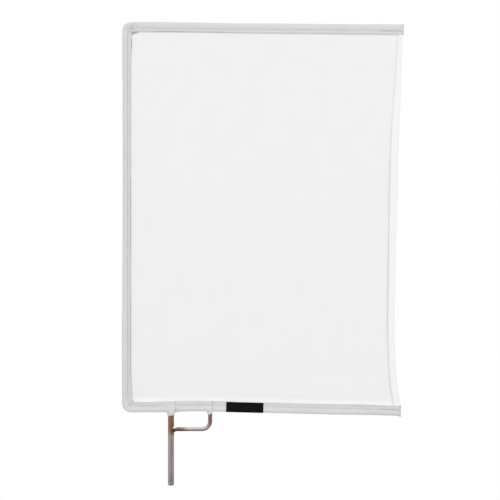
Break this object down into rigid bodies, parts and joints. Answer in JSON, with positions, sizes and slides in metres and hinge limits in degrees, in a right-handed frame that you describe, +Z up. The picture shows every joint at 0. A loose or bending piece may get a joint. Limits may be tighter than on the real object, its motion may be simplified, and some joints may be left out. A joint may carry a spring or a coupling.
{
  "type": "silk flag",
  "caption": "Flat lighting flag: white silk on a C of steel rod in sewn cloth sleeves, one edge hemmed and free, with a braced mounting pin below.",
  "frame": {"origin": "centre of the lower end face of the mounting pin", "axes": "+Z up the mounting pin, +X to the open end, and the front, with the visible seam threads, faces -Y"},
  "size_m": [0.4411, 0.0136, 0.7261],
  "materials": {
    "silk": "plain woven, smooth and translucent",
    "sleeve_cloth": "plain woven, matt",
    "thread": "twisted sewing thread",
    "label": "woven tape, matt black, bare",
    "frame_steel": "drawn",
    "pin_steel": "drawn and plated, heat tinted copper towards the top",
    "brace_steel": "drawn and plated, heat tinted copper at both ends",
    "bronze": "brazed fillet, as cooled"
  },
  "bodies": {
    "root": {"frame_rod": "frame_steel", "mounting_pin": "pin_steel", "brace_rod": "brace_steel", "brace_to_pin_braze": "bronze", "pin_to_arm_braze": "bronze", "brace_to_arm_braze": "bronze", "silk_panel": "silk", "free_edge_hem": "silk", "top_sleeve": "sleeve_cloth", "side_sleeve": "sleeve_cloth", "bottom_sleeve_inner": "sleeve_cloth", "bottom_sleeve_middle": "sleeve_cloth", "bottom_sleeve_outer": "sleeve_cloth", "pin_cuff": "sleeve_cloth", "brace_cuff": "sleeve_cloth", "top_end_hem": "sleeve_cloth", "bottom_end_hem": "sleeve_cloth", "sewn_label": "label", "top_seam_thread": "thread", "side_seam_thread": "thread", "bottom_seam_thread": "thread", "label_seam_thread": "thread", "outer_seam_thread": "thread", "hem_thread": "thread"}
  },
  "joints": []
}
